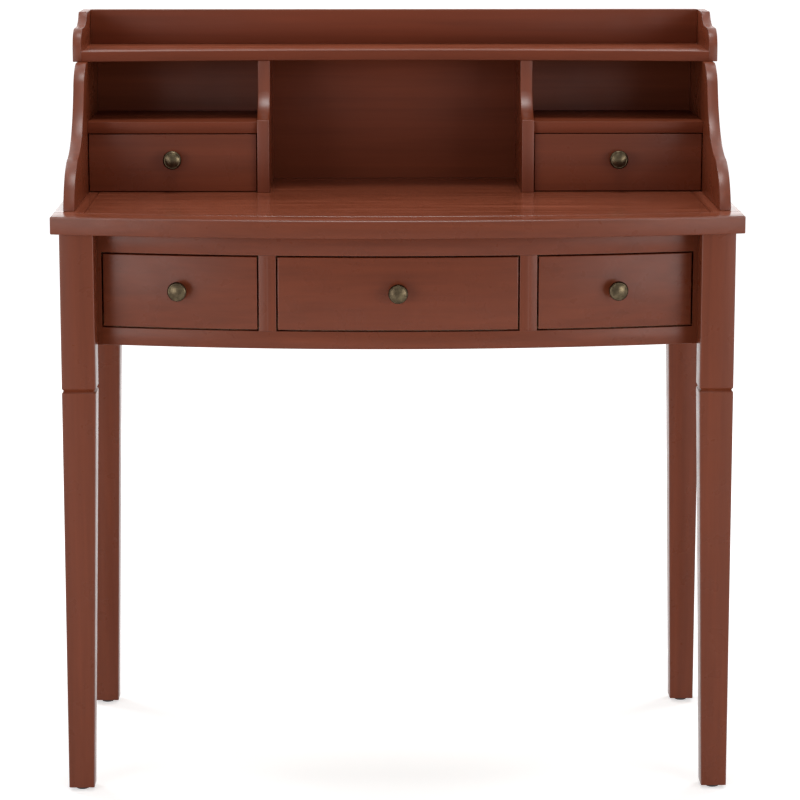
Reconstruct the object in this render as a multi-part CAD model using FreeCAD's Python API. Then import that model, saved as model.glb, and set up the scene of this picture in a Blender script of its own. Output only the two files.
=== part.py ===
import FreeCAD, Part
import math
import os

# A bow-fronted writing desk with a hutch. Millimetres, +Z up, the front faces -Y.
# The origin is on the floor, below the middle of the desk's bounding box.

# Worktop: a bowed front board, two end boards and a main panel
worktop_width = 909.0
worktop_depth = 531.0
worktop_height = 781.0
worktop_thickness = 23.3
worktop_bow = 50.0
worktop_arris = 2.0
front_board_width = 48.0
end_board_width = 41.5
board_groove = 1.2

# Legs: square above a V-groove, tapered on the two inner faces below it
leg_side = 45.0
leg_foot_side = 34.0
leg_groove_height = 548.0
leg_groove_width = 6.0
leg_groove_depth = 2.4
leg_arris = 1.5
leg_side_inset = 10.5
leg_front_inset = 10.0
leg_back_inset = 1.0
glide_diameter = 19.0
glide_height = 5.0
glide_chamfer = 1.5
glide_pin_diameter = 4.0
glide_pin_length = 14.0

# Face frame behind the front legs, and the other aprons
top_rail_height = 30.1
opening_height = 100.4
bottom_rail_height = 23.3
frame_bow = 48.0
frame_thickness = 20.0
end_stile_reveal = 6.5
mid_stile_width = 23.0
centre_opening_width = 320.8
apron_thickness = 18.0
side_apron_inset = 6.0
back_apron_inset = 5.0

# Runners that carry the lower drawers, and kickers above them
runner_thickness = 15.0
runner_ledge = 9.5
guide_height = 12.0
guide_clearance = 1.0
bearing_clearance = 0.4
kicker_clearance = 2.0

# Corner blocks and the bolts that hold the legs
block_width = 20.0
block_height = 65.0
block_thickness = 30.0
block_lift = 6.0
bolt_diameter = 6.0
bolt_head_diameter = 12.0
bolt_head_height = 4.0
bolt_grip_in_leg = 28.0
bolt_spacing = 35.0
bolt_clearance = 0.15

# Countersunk screws of the worktop and the hutch
screw_diameter = 4.0
screw_head_diameter = 8.0
screw_head_height = 2.5
screw_length = 40.0
screw_clearance = 0.15
kicker_screw_inset = 60.0
hutch_screw_inset = 35.0

# Drawers
drawer_gap = 2.0
drawer_arris = 1.2
drawer_side_thickness = 11.0
drawer_bottom_thickness = 5.0
drawer_bottom_lift = 6.0
drawer_groove_depth = 5.0
groove_clearance = 0.1
glue_line = 0.1
lower_front_thickness = 16.0
lower_box_lift = 2.8
lower_box_height = 86.0
lower_box_inset = 3.0
lower_box_back_clearance = 15.0
small_front_thickness = 15.0
small_front_setback = 9.0
small_drawer_gap = 1.2
small_box_height = 70.0
small_box_inset = 1.5
small_box_back_clearance = 8.0

# Knobs, turned in brass, with their shank in one piece
knob_diameter = 26.0
knob_projection = 22.0
knob_base_diameter = 17.0
knob_base_height = 2.0
knob_neck_diameter = 9.0
knob_cap_height = 7.4
knob_flare_height = 2.1
knob_lip_inset = 0.8
knob_rim_rise = 2.0
knob_dome_diameter = 22.9
knob_dome_rise = 2.25
knob_shank_diameter = 5.0
knob_shank_length = 13.0
knob_clearance = 0.1
lower_knob_rise = 2.6
small_knob_rise = 5.0

# Hutch, standing on the worktop
hutch_end_inset = 12.0
hutch_height = 179.5
hutch_side_thickness = 15.0
hutch_back_inset = 1.5
side_foot_setback = 61.0
divider_thickness = 17.0
divider_spacing = 350.8
divider_corner_height = 100.5
divider_sweep_height = 36.0
small_shelf_height = 98.0
small_shelf_thickness = 16.0
back_panel_thickness = 12.0

# Top shelf and the gallery round it
top_shelf_thickness = 14.5
top_shelf_hollow = 32.7
shelf_arris = 1.5
shelf_chamfer = 1.2
gallery_overhang = 5.7
gallery_side_thickness = 12.0
gallery_side_height = 63.3
gallery_back_height = 48.9
gallery_back_thickness = 14.5

# One overrun serves all cuts, and places closer than this count as the same
overrun = 5.0
same_place = 0.01

# Where the fronts of the upper pieces stand, as shares of the hutch's depth from its foot
side_top_share = 0.533
divider_foot_share = 0.517
divider_top_share = 0.654
top_shelf_share = 0.582
gallery_top_share = 0.833

# Outlines as hand-chosen shares. Each is (share of the depth that the outline
# runs back, share of its height), start, middle and end of each arc in turn.
# The gallery's nose and cove are joined by a straight ledge.
side_nose_shares = ((0.0, 0.0), (0.094, 0.206), (0.341, 0.351))
side_sweep_shares = ((0.341, 0.351), (0.628, 0.513), (0.816, 0.858))
side_top_shares = ((0.816, 0.858), (0.883, 0.947), (1.0, 1.0))
divider_sweep_shares = ((0.0, 0.0), (0.643, 0.358), (1.0, 1.0))
gallery_nose_shares = ((0.0, 0.269), (0.078, 0.581), (0.267, 0.711))
gallery_cove_shares = ((0.571, 0.719), (0.819, 0.794), (1.0, 1.0))

# Places that follow from the sizes above
half_width = worktop_width / 2
front_y = -worktop_depth / 2
back_y = worktop_depth / 2
corner_y = front_y + worktop_bow
worktop_bottom = worktop_height - worktop_thickness
worktop_radius = (half_width ** 2 + worktop_bow ** 2) / (2 * worktop_bow)
worktop_centre_y = front_y + worktop_radius
board_joint_radius = worktop_radius - front_board_width

leg_outer_x = half_width - leg_side_inset
leg_inner_x = leg_outer_x - leg_side
front_leg_y = corner_y + leg_front_inset
front_leg_back_y = front_leg_y + leg_side
back_leg_back_y = back_y - leg_back_inset
back_leg_y = back_leg_back_y - leg_side

frame_top = worktop_bottom
opening_top = frame_top - top_rail_height
opening_bottom = opening_top - opening_height
frame_bottom = opening_bottom - bottom_rail_height
frame_radius = (leg_inner_x ** 2 + frame_bow ** 2) / (2 * frame_bow)
frame_centre_y = front_leg_back_y - frame_bow + frame_radius
frame_back_y = front_leg_back_y + frame_thickness
opening_end_x = leg_inner_x - end_stile_reveal
centre_opening_x = centre_opening_width / 2
side_opening_x = centre_opening_x + mid_stile_width
apron_outer_x = leg_outer_x - side_apron_inset
apron_inner_x = apron_outer_x - apron_thickness
back_apron_back_y = back_leg_back_y - back_apron_inset
back_apron_y = back_apron_back_y - apron_thickness

lower_box_bottom = opening_bottom + drawer_gap + lower_box_lift
lower_box_top = lower_box_bottom + lower_box_height
runner_top = lower_box_bottom - bearing_clearance
runner_bottom = runner_top - runner_thickness
guide_top = runner_top + guide_height
kicker_bottom = lower_box_top + kicker_clearance
block_bottom = guide_top + block_lift
block_x = apron_inner_x - block_width
back_block_thickness = block_thickness + frame_thickness

hutch_outer_x = half_width - hutch_end_inset
hutch_inner_x = hutch_outer_x - hutch_side_thickness
hutch_front_y = corner_y + side_foot_setback
hutch_back_y = back_y - hutch_back_inset
hutch_depth = hutch_back_y - hutch_front_y
side_top_y = hutch_front_y + side_top_share * hutch_depth
divider_foot_y = hutch_front_y + divider_foot_share * hutch_depth
divider_top_y = hutch_front_y + divider_top_share * hutch_depth
top_shelf_end_y = hutch_front_y + top_shelf_share * hutch_depth
gallery_top_y = hutch_front_y + gallery_top_share * hutch_depth
hutch_top = worktop_height + hutch_height
back_panel_y = hutch_back_y - gallery_back_thickness
divider_inner_x = divider_spacing / 2
divider_outer_x = divider_inner_x + divider_thickness
small_shelf_top = worktop_height + small_shelf_height
small_shelf_bottom = small_shelf_top - small_shelf_thickness
top_shelf_top = hutch_top + top_shelf_thickness
gallery_outer_x = hutch_outer_x + gallery_overhang
gallery_inner_x = gallery_outer_x - gallery_side_thickness


def point(x, y, z):
    return FreeCAD.Vector(x, y, z)


def box(x_low, x_high, y_low, y_high, z_low, z_high):
    """A block between two limits on each axis."""
    size = (x_high - x_low, y_high - y_low, z_high - z_low)
    return Part.makeBox(*size, point(x_low, y_low, z_low))


def bow(radius, centre_y, z_low, z_high):
    """All that lies behind a bowed surface of this radius."""
    return Part.makeCylinder(radius, z_high - z_low, point(0, centre_y, z_low))


def frame_bow_y(x):
    """Where the face frame's bowed front is at x."""
    return frame_centre_y - math.sqrt(frame_radius ** 2 - x ** 2)


def arc(start, middle, end):
    return Part.Arc(start, middle, end).toShape()


def line(start, end):
    return Part.LineSegment(start, end).toShape()


def solid_from(edges, direction):
    """A closed outline pushed along a direction."""
    return Part.Face(Part.Wire(edges)).extrude(direction)


def mirrored(shape):
    """The same piece on the other side of the desk."""
    return shape.mirror(point(0, 0, 0), point(1, 0, 0))


def edges_at(shape, test):
    """The edges whose every vertex and middle passes a test."""
    found = []
    for edge in shape.Edges:
        middle = edge.valueAt((edge.FirstParameter + edge.LastParameter) / 2)
        places = [vertex.Point for vertex in edge.Vertexes] + [middle]
        if all(test(place) for place in places):
            found.append(edge)
    return found


# Screws

def screw(x, y, head_z, spare):
    """A countersunk screw that points up, or its hole when spare is not zero."""
    shank = screw_diameter / 2 + spare
    head = screw_head_diameter / 2 + spare
    cone = Part.makeCone(head, shank, screw_head_height, point(x, y, head_z))
    body = Part.makeCylinder(shank, screw_length + spare, point(x, y, head_z))
    return cone.fuse(body).removeSplitter()


def worktop_fixings():
    """Where a screw goes up through a kicker, and where one goes up into the hutch."""
    kicker_head = worktop_bottom - screw_length / 2
    places = []
    for x in (runner_middle_x("end"), runner_middle_x("mid")):
        for y in (frame_back_y + kicker_screw_inset, back_leg_y - kicker_screw_inset):
            places.append((x, y, kicker_head))
            places.append((-x, y, kicker_head))
    side_x = hutch_outer_x - hutch_side_thickness / 2
    side_front = hutch_front_y + hutch_screw_inset
    divider_x = divider_inner_x + divider_thickness / 2
    divider_front = divider_foot_y + hutch_screw_inset
    for x, y_front in ((side_x, side_front), (divider_x, divider_front)):
        for y in (y_front, back_panel_y - hutch_screw_inset):
            places.append((x, y, worktop_bottom))
            places.append((-x, y, worktop_bottom))
    return places


def screw_holes():
    return Part.makeCompound([screw(*place, screw_clearance) for place in worktop_fixings()])


# Worktop

def board_edge_groove(shape, test):
    """The small chamfer that makes half of the groove between two boards."""
    return shape.makeChamfer(board_groove, edges_at(shape, test))


def near(value, target):
    return abs(value - target) < same_place


def on_joint_arc(place, radius):
    return near(math.hypot(place.x, place.y - worktop_centre_y), radius)


def worktop_front_board():
    block = box(-half_width, half_width, front_y, back_y, worktop_bottom, worktop_height)
    outer = bow(worktop_radius, worktop_centre_y, worktop_bottom, worktop_height)
    inner = bow(board_joint_radius, worktop_centre_y, worktop_bottom, worktop_height)
    board = block.common(outer).cut(inner)
    board = board_edge_groove(
        board, lambda p: near(p.z, worktop_height) and on_joint_arc(p, board_joint_radius))
    return rounded_outside(board)


def rounded_outside(board):
    """Rounds the arrises of a worktop board that face the front and the ends."""
    def outside(place):
        at_end = near(abs(place.x), half_width)
        return at_end or on_joint_arc(place, worktop_radius)

    def level(place):
        return near(place.z, worktop_height) or near(place.z, worktop_bottom)

    edges = edges_at(board, lambda p: outside(p) and level(p))
    return board.makeFillet(worktop_arris, edges)


def behind_front_board():
    radius = board_joint_radius - glue_line
    return bow(radius, worktop_centre_y, worktop_bottom, worktop_height)


def worktop_end_board():
    inner = half_width - end_board_width
    block = box(inner, half_width, front_y, back_y, worktop_bottom, worktop_height)
    board = block.common(behind_front_board())
    board = board_edge_groove(board, lambda p: near(p.z, worktop_height) and (
        near(p.x, inner) or on_joint_arc(p, board_joint_radius - glue_line)))
    return rounded_outside(board).cut(screw_holes())


def worktop_main_panel():
    inner = half_width - end_board_width
    block = box(-inner, inner, front_y, back_y, worktop_bottom, worktop_height)
    board = block.common(behind_front_board())
    board = board_edge_groove(board, lambda p: near(p.z, worktop_height) and (
        near(abs(p.x), inner) or on_joint_arc(p, board_joint_radius - glue_line)))
    return board.cut(screw_holes())


# Legs and glides

def leg_outline(x_outer, y_outer, x_way, y_way, side, z):
    """A square with rounded corners that grows inwards from the leg's outer corner."""
    xs = sorted((x_outer, x_outer + x_way * side))
    ys = sorted((y_outer, y_outer + y_way * side))
    r = leg_arris
    bend = r - r * math.sqrt(0.5)
    corners = ((xs[0], ys[0], 1, 1), (xs[1], ys[0], -1, 1), (xs[1], ys[1], -1, -1), (xs[0], ys[1], 1, -1))
    edges = []
    previous = None
    first = None
    for index, (x, y, dx, dy) in enumerate(corners):
        along_x = point(x + dx * r, y, z)
        along_y = point(x, y + dy * r, z)
        start, end = (along_y, along_x) if index % 2 == 0 else (along_x, along_y)
        if previous is not None:
            edges.append(line(previous, start))
        edges.append(arc(start, point(x + dx * bend, y + dy * bend, z), end))
        previous = end
        first = first or start
    edges.append(line(previous, first))
    return Part.Wire(edges)


def leg(x_side, y_side):
    """One leg. The sides are -1 or 1 for left or right and front or back."""
    x_outer = x_side * leg_outer_x
    y_outer = front_leg_y if y_side < 0 else back_leg_back_y
    place = (x_outer, y_outer, -x_side, -y_side)
    waist = leg_outline(*place, leg_side, leg_groove_height)
    foot = leg_outline(*place, leg_foot_side, glide_height)
    upper = Part.Face(waist).extrude(point(0, 0, worktop_bottom - leg_groove_height))
    lower = Part.makeLoft([foot, waist], True, True)
    shape = upper.fuse(lower)
    shape = shape.cut(leg_groove(*place)).cut(bolts(bolt_clearance))
    return shape.cut(glide(x_side, y_side, bolt_clearance))


def leg_groove(x_outer, y_outer, x_way, y_way):
    """The V-shaped ring that is cut round the leg."""
    low, high = leg_groove_height - leg_groove_width / 2, leg_groove_height + leg_groove_width / 2
    x0, x1 = sorted((x_outer, x_outer + x_way * leg_side))
    y0, y1 = sorted((y_outer, y_outer + y_way * leg_side))
    cuts = []
    for x_face, way in ((x0, 1), (x1, -1)):
        corners = [point(x_face - way * overrun, y0 - overrun, low),
                   point(x_face, y0 - overrun, low),
                   point(x_face + way * leg_groove_depth, y0 - overrun, leg_groove_height),
                   point(x_face, y0 - overrun, high),
                   point(x_face - way * overrun, y0 - overrun, high)]
        cuts.append(prism(corners, point(0, y1 - y0 + 2 * overrun, 0)))
    for y_face, way in ((y0, 1), (y1, -1)):
        corners = [point(x0 - overrun, y_face - way * overrun, low),
                   point(x0 - overrun, y_face, low),
                   point(x0 - overrun, y_face + way * leg_groove_depth, leg_groove_height),
                   point(x0 - overrun, y_face, high),
                   point(x0 - overrun, y_face - way * overrun, high)]
        cuts.append(prism(corners, point(x1 - x0 + 2 * overrun, 0, 0)))
    return cuts[0].multiFuse(cuts[1:])


def prism(corners, direction):
    return Part.Face(Part.makePolygon(corners + corners[:1])).extrude(direction)


def glide(x_side, y_side, spare):
    """A glide with its pin in the leg, or the pin's hole when spare is not zero."""
    x = x_side * (leg_outer_x - leg_foot_side / 2)
    y_outer = front_leg_y if y_side < 0 else back_leg_back_y
    y = y_outer - y_side * leg_foot_side / 2
    pin_length = glide_pin_length + spare
    pin = Part.makeCylinder(glide_pin_diameter / 2 + spare, pin_length, point(x, y, glide_height))
    if spare:
        return pin
    disc = Part.makeCylinder(glide_diameter / 2, glide_height, point(x, y, 0))
    disc = disc.makeChamfer(glide_chamfer, edges_at(disc, lambda p: near(p.z, 0)))
    return disc.fuse(pin)


def leg_glides():
    return Part.makeCompound([glide(x, y, 0) for x in (-1, 1) for y in (-1, 1)])


# Face frame and aprons

def frame_region(inset, z_low, z_high):
    return bow(frame_radius - inset, frame_centre_y, z_low, z_high)


def frame_rail(z_low, z_high):
    """A bowed rail that runs between the end stiles."""
    block = box(-opening_end_x, opening_end_x, front_y, back_y, z_low, z_high)
    outer = frame_region(0, z_low, z_high)
    return block.common(outer).cut(frame_region(frame_thickness, z_low, z_high))


def frame_mid_stile():
    block = box(centre_opening_x, side_opening_x, front_y, back_y, opening_bottom, opening_top)
    outer = frame_region(0, opening_bottom, opening_top)
    return block.common(outer).cut(frame_region(frame_thickness, opening_bottom, opening_top))


def frame_end_stile():
    """The stile that stands behind a front leg. The leg is bolted to it."""
    seen = box(opening_end_x, leg_inner_x, front_y, frame_back_y, frame_bottom, frame_top)
    seen = seen.common(frame_region(0, frame_bottom, frame_top))
    hidden = box(leg_inner_x, apron_outer_x, front_leg_back_y, frame_back_y, frame_bottom, frame_top)
    return seen.fuse(hidden).removeSplitter().cut(bolts(bolt_clearance))


def side_apron():
    return box(apron_inner_x, apron_outer_x, frame_back_y, back_leg_y, frame_bottom, frame_top)


def back_apron():
    return box(-leg_inner_x, leg_inner_x, back_apron_y, back_apron_back_y, frame_bottom, frame_top)


def corner_block(front):
    y_low = frame_back_y if front else back_leg_y - back_block_thickness
    y_high = frame_back_y + block_thickness if front else back_leg_y
    block = box(block_x, apron_inner_x, y_low, y_high, block_bottom, block_bottom + block_height)
    return block.cut(bolts(bolt_clearance))


def corner_blocks():
    blocks = [corner_block(True), corner_block(False)]
    return Part.makeCompound(blocks + [mirrored(block) for block in blocks])


def bolt(y_head, y_way, z, spare):
    """A leg bolt on the right side of the desk. Its head stands on the corner block."""
    x = (block_x + apron_inner_x) / 2
    direction = point(0, y_way, 0)
    reach = back_block_thickness + bolt_grip_in_leg + spare
    shank = Part.makeCylinder(bolt_diameter / 2 + spare, reach, point(x, y_head, z), direction)
    if spare:
        return shank
    head = Part.makeCylinder(bolt_head_diameter / 2, bolt_head_height, point(x, y_head, z), -direction)
    return shank.fuse(head)


def bolts(spare):
    """All leg bolts, or their holes when spare is not zero."""
    middle = block_bottom + block_height / 2
    right = []
    for z in (middle - bolt_spacing / 2, middle + bolt_spacing / 2):
        right.append(bolt(frame_back_y + block_thickness, -1, z, spare))
        right.append(bolt(back_leg_y - back_block_thickness, 1, z, spare))
    return Part.makeCompound(right + [mirrored(one) for one in right])


# Runners and kickers

def drawer_box_limits():
    """The sides of the lower drawers' boxes: centre, then inner and outer side of a side drawer."""
    inset = drawer_gap + lower_box_inset
    return centre_opening_x - inset, side_opening_x + inset, opening_end_x - inset


def runner_limits(place):
    """Low and high x of a runner: the mid one serves two drawers, the end one serves one."""
    centre_side, side_inner, side_outer = drawer_box_limits()
    if place == "mid":
        return centre_side - runner_ledge, side_inner + runner_ledge
    return side_outer - runner_ledge, apron_inner_x


def runner_middle_x(place):
    low, high = runner_limits(place)
    return (low + high) / 2


def runner_strip(place, z_low, z_high, x_low, x_high):
    """A strip from the face frame's back to the back apron or back leg."""
    if place == "end":
        return box(x_low, x_high, frame_back_y, back_leg_y, z_low, z_high)
    strip = box(x_low, x_high, front_y, back_apron_y, z_low, z_high)
    return strip.common(frame_region(frame_thickness + glue_line, z_low, z_high))


def runner(place):
    """A strip that the drawer sides slide on, with a guide on top of it."""
    centre_side, side_inner, side_outer = drawer_box_limits()
    x_low, x_high = runner_limits(place)
    bearer = runner_strip(place, runner_bottom, runner_top, x_low, x_high)
    if place == "mid":
        guide_low, guide_high = centre_side + guide_clearance, side_inner - guide_clearance
    else:
        guide_low, guide_high = side_outer + guide_clearance, apron_inner_x
    guide = runner_strip(place, runner_top, guide_top, guide_low, guide_high)
    return bearer.fuse(guide)


def drawer_runners():
    right = [runner("mid"), runner("end")]
    return Part.makeCompound(right + [mirrored(one) for one in right])


def kicker(place):
    x_low, x_high = runner_limits(place)
    strip = runner_strip(place, kicker_bottom, worktop_bottom, x_low, x_high)
    return strip.cut(screw_holes()).cut(counterbores())


def counterbores():
    """The holes that let a short screw's head into a tall kicker."""
    radius = screw_head_diameter / 2 + screw_clearance
    cuts = []
    for x, y, head_z in worktop_fixings():
        if head_z < worktop_bottom:
            start = kicker_bottom - overrun
            cuts.append(Part.makeCylinder(radius, head_z - start, point(x, y, start)))
    return Part.makeCompound(cuts)


def drawer_kickers():
    right = [kicker("mid"), kicker("end")]
    return Part.makeCompound(right + [mirrored(one) for one in right])


def assembly_screws():
    return Part.makeCompound([screw(*place, 0) for place in worktop_fixings()])


# Hutch

def share_points(shares, x, y_start, y_length, z_start, z_length):
    return [point(x, y_start + s * y_length, z_start + t * z_length) for s, t in shares]


def side_board():
    """The right side: a round nose at the foot, a long hollow sweep, a round nose at the top."""
    run = side_top_y - hutch_front_y
    place = (hutch_inner_x, hutch_front_y, run, worktop_height, hutch_height)
    edges = [arc(*share_points(shares, *place))
             for shares in (side_nose_shares, side_sweep_shares, side_top_shares)]
    foot = point(hutch_inner_x, hutch_front_y, worktop_height)
    top = point(hutch_inner_x, side_top_y, hutch_top)
    top_back = point(hutch_inner_x, hutch_back_y, hutch_top)
    foot_back = point(hutch_inner_x, hutch_back_y, worktop_height)
    edges += [line(top, top_back), line(top_back, foot_back), line(foot_back, foot)]
    board = solid_from(edges, point(hutch_side_thickness, 0, 0))
    return board.cut(screw_holes())


def divider():
    """The right divider: upright to just above the small shelf, then a hollow sweep back."""
    x = divider_inner_x
    corner_z = worktop_height + divider_corner_height
    run = divider_top_y - divider_foot_y
    sweep = share_points(divider_sweep_shares, x, divider_foot_y, run, corner_z, divider_sweep_height)
    foot = point(x, divider_foot_y, worktop_height)
    top = point(x, divider_top_y, hutch_top)
    top_back = point(x, back_panel_y, hutch_top)
    foot_back = point(x, back_panel_y, worktop_height)
    edges = [line(foot, sweep[0]), arc(*sweep), line(sweep[-1], top)]
    edges += [line(top, top_back), line(top_back, foot_back), line(foot_back, foot)]
    return solid_from(edges, point(divider_thickness, 0, 0)).cut(screw_holes())


def small_shelf():
    shelf = box(divider_outer_x, hutch_inner_x, side_top_y, back_panel_y, small_shelf_bottom, small_shelf_top)
    return shelf.makeFillet(shelf_arris, edges_at(shelf, lambda p: near(p.y, side_top_y) and (
        near(p.z, small_shelf_top) or near(p.z, small_shelf_bottom))))


def hutch_back_panel():
    y_high = back_panel_y + back_panel_thickness
    return box(-hutch_inner_x, hutch_inner_x, back_panel_y, y_high, worktop_height, hutch_top)


def top_shelf():
    """The shelf on top of the hutch, with a hollow front edge that is bevelled all along."""
    middle_y = top_shelf_end_y + top_shelf_hollow
    left = point(-gallery_inner_x, top_shelf_end_y, hutch_top)
    right = point(gallery_inner_x, top_shelf_end_y, hutch_top)
    right_back = point(gallery_inner_x, hutch_back_y, hutch_top)
    left_back = point(-gallery_inner_x, hutch_back_y, hutch_top)
    front = arc(left, point(0, middle_y, hutch_top), right)
    edges = [front, line(right, right_back), line(right_back, left_back), line(left_back, left)]
    shelf = solid_from(edges, point(0, 0, top_shelf_thickness))
    level = (hutch_top, top_shelf_top)
    fronts = [e for e in shelf.Edges if e.Curve.TypeId == "Part::GeomCircle" and near(
        e.BoundBox.ZLength, 0) and any(near(e.BoundBox.ZMin, z) for z in level)]
    return shelf.makeChamfer(shelf_chamfer, fronts)


def gallery_side():
    """The right side of the gallery: a round nose, a ledge and a cove. It caps the top shelf's end."""
    x = gallery_inner_x
    front = top_shelf_end_y
    place = (x, front, gallery_top_y - front, hutch_top, gallery_side_height)
    nose = share_points(gallery_nose_shares, *place)
    cove = share_points(gallery_cove_shares, *place)
    foot = point(x, front, hutch_top)
    top_back = point(x, hutch_back_y, hutch_top + gallery_side_height)
    foot_back = point(x, hutch_back_y, hutch_top)
    edges = [line(foot, nose[0]), arc(*nose), line(nose[-1], cove[0]), arc(*cove)]
    edges += [line(cove[-1], top_back), line(top_back, foot_back), line(foot_back, foot)]
    return solid_from(edges, point(gallery_side_thickness, 0, 0))


def gallery_back():
    z_high = top_shelf_top + gallery_back_height
    return box(-gallery_inner_x, gallery_inner_x, back_panel_y, hutch_back_y, top_shelf_top, z_high)


# Drawers

def knob_shape():
    """A mushroom knob with a low dome on the Z axis, its base on the plane z = 0, its shank below."""
    base, neck = knob_base_diameter / 2, knob_neck_diameter / 2
    rim, shank = knob_diameter / 2, knob_shank_diameter / 2
    lip_z = knob_projection - knob_cap_height
    neck_low = knob_base_height + (base - neck)
    neck_top = point(neck, 0, lip_z - knob_flare_height)
    lip, widest = point(rim - knob_lip_inset, 0, lip_z), point(rim, 0, lip_z + knob_rim_rise)
    dome_rim = knob_dome_diameter / 2
    dome_radius = (dome_rim ** 2 + knob_dome_rise ** 2) / (2 * knob_dome_rise)
    dome_half_turn = math.asin(dome_rim / dome_radius) / 2
    dome_middle_z = knob_projection - dome_radius * (1 - math.cos(dome_half_turn))
    dome_middle = point(dome_radius * math.sin(dome_half_turn), 0, dome_middle_z)
    dome_edge, dome_top = point(dome_rim, 0, knob_projection - knob_dome_rise), point(0, 0, knob_projection)
    root = 1 - math.sqrt(0.5)
    cove_middle = point(neck + (base - neck) * root, 0, neck_low - (base - neck) * (1 - root))
    corners = [point(0, 0, -knob_shank_length), point(shank, 0, -knob_shank_length),
               point(shank, 0, 0), point(base, 0, 0), point(base, 0, knob_base_height)]
    edges = [line(a, b) for a, b in zip(corners, corners[1:])]
    edges += [arc(corners[-1], cove_middle, point(neck, 0, neck_low)),
              line(point(neck, 0, neck_low), neck_top), line(neck_top, lip), arc(lip, widest, dome_edge),
              arc(dome_edge, dome_middle, dome_top), line(dome_top, corners[0])]
    face = Part.Face(Part.Wire(edges))
    return face.revolve(point(0, 0, 0), point(0, 0, 1), 360)


def stand_on(shape, x, y, z, turn):
    """Turns a shape made on the Z axis to look forward, turned sideways, and places it."""
    shape = shape.copy()
    shape.rotate(point(0, 0, 0), point(1, 0, 0), 90)
    shape.rotate(point(0, 0, 0), point(0, 0, 1), turn)
    shape.translate(point(x, y, z))
    return shape


def knob_hole():
    radius = knob_shank_diameter / 2 + knob_clearance
    length = knob_shank_length + knob_clearance + overrun
    return Part.makeCylinder(radius, length, point(0, 0, -knob_shank_length - knob_clearance))


def drawer_bottom_panel(x_low, x_high, box_bottom, y_back, inside):
    """The bottom panel, held in the grooves of the two sides."""
    reach = drawer_side_thickness - drawer_groove_depth + groove_clearance
    z_low = box_bottom + drawer_bottom_lift
    panel = box(x_low + reach, x_high - reach, front_y, y_back, z_low, z_low + drawer_bottom_thickness)
    return panel.common(inside)


def drawer_box(x_low, x_high, box_bottom, box_height, y_back, inside):
    """The two sides, the back and the bottom of a drawer, behind its front."""
    box_top = box_bottom + box_height
    wall = drawer_side_thickness
    groove_low = box_bottom + drawer_bottom_lift - groove_clearance
    groove_high = groove_low + drawer_bottom_thickness + 2 * groove_clearance
    groove = box(x_low + wall - drawer_groove_depth, x_high - wall + drawer_groove_depth,
                 front_y - overrun, y_back + overrun, groove_low, groove_high)
    sides = []
    for low, high in ((x_low, x_low + wall), (x_high - wall, x_high)):
        board = box(low, high, front_y, y_back, box_bottom, box_top)
        sides.append(board.common(inside).cut(groove))
    back = box(x_low + wall, x_high - wall, y_back - wall, y_back, groove_high - groove_clearance, box_top)
    bottom = drawer_bottom_panel(x_low, x_high, box_bottom, y_back, inside)
    return {"sides": Part.makeCompound(sides), "back": back, "bottom": bottom}


def rounded_front(front, outer_test):
    return front.makeFillet(drawer_arris, edges_at(front, outer_test))


def lower_drawer(opening_low, opening_high):
    """A drawer with a bowed front in one of the face frame's openings."""
    x_low, x_high = opening_low + drawer_gap, opening_high - drawer_gap
    z_low, z_high = opening_bottom + drawer_gap, opening_top - drawer_gap
    block = box(x_low, x_high, front_y, back_y, z_low, z_high)
    front = block.common(frame_region(0, z_low, z_high))
    front = front.cut(frame_region(lower_front_thickness, z_low, z_high))
    front = rounded_front(front, lambda p: near(
        math.hypot(p.x, p.y - frame_centre_y), frame_radius))
    inside = frame_region(lower_front_thickness + glue_line, z_low, z_high)
    y_back = back_apron_y - lower_box_back_clearance
    pieces = drawer_box(x_low + lower_box_inset, x_high - lower_box_inset,
                        lower_box_bottom, lower_box_height, y_back, inside)
    x = (x_low + x_high) / 2
    turn = math.degrees(math.asin(x / frame_radius))
    place = (x, frame_bow_y(x), (z_low + z_high) / 2 + lower_knob_rise, turn)
    pieces["knob"] = stand_on(knob_shape(), *place)
    pieces["front"] = front.cut(stand_on(knob_hole(), *place))
    return pieces


def small_drawer():
    """The right small drawer. It slides on the worktop, below the small shelf."""
    x_low, x_high = divider_outer_x + small_drawer_gap, hutch_inner_x - small_drawer_gap
    z_low, z_high = worktop_height + small_drawer_gap, small_shelf_bottom - small_drawer_gap
    y_front = divider_foot_y + small_front_setback
    y_inside = y_front + small_front_thickness
    front = box(x_low, x_high, y_front, y_inside, z_low, z_high)
    front = rounded_front(front, lambda p: near(p.y, y_front))
    y_back = back_panel_y - small_box_back_clearance
    inside = box(divider_outer_x, hutch_inner_x, y_inside, y_back, worktop_height, z_high)
    pieces = drawer_box(divider_outer_x + small_box_inset, hutch_inner_x - small_box_inset,
                        worktop_height + bearing_clearance, small_box_height, y_back, inside)
    place = ((x_low + x_high) / 2, y_front, (z_low + z_high) / 2 + small_knob_rise, 0)
    pieces["knob"] = stand_on(knob_shape(), *place)
    pieces["front"] = front.cut(stand_on(knob_hole(), *place))
    return pieces


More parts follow.
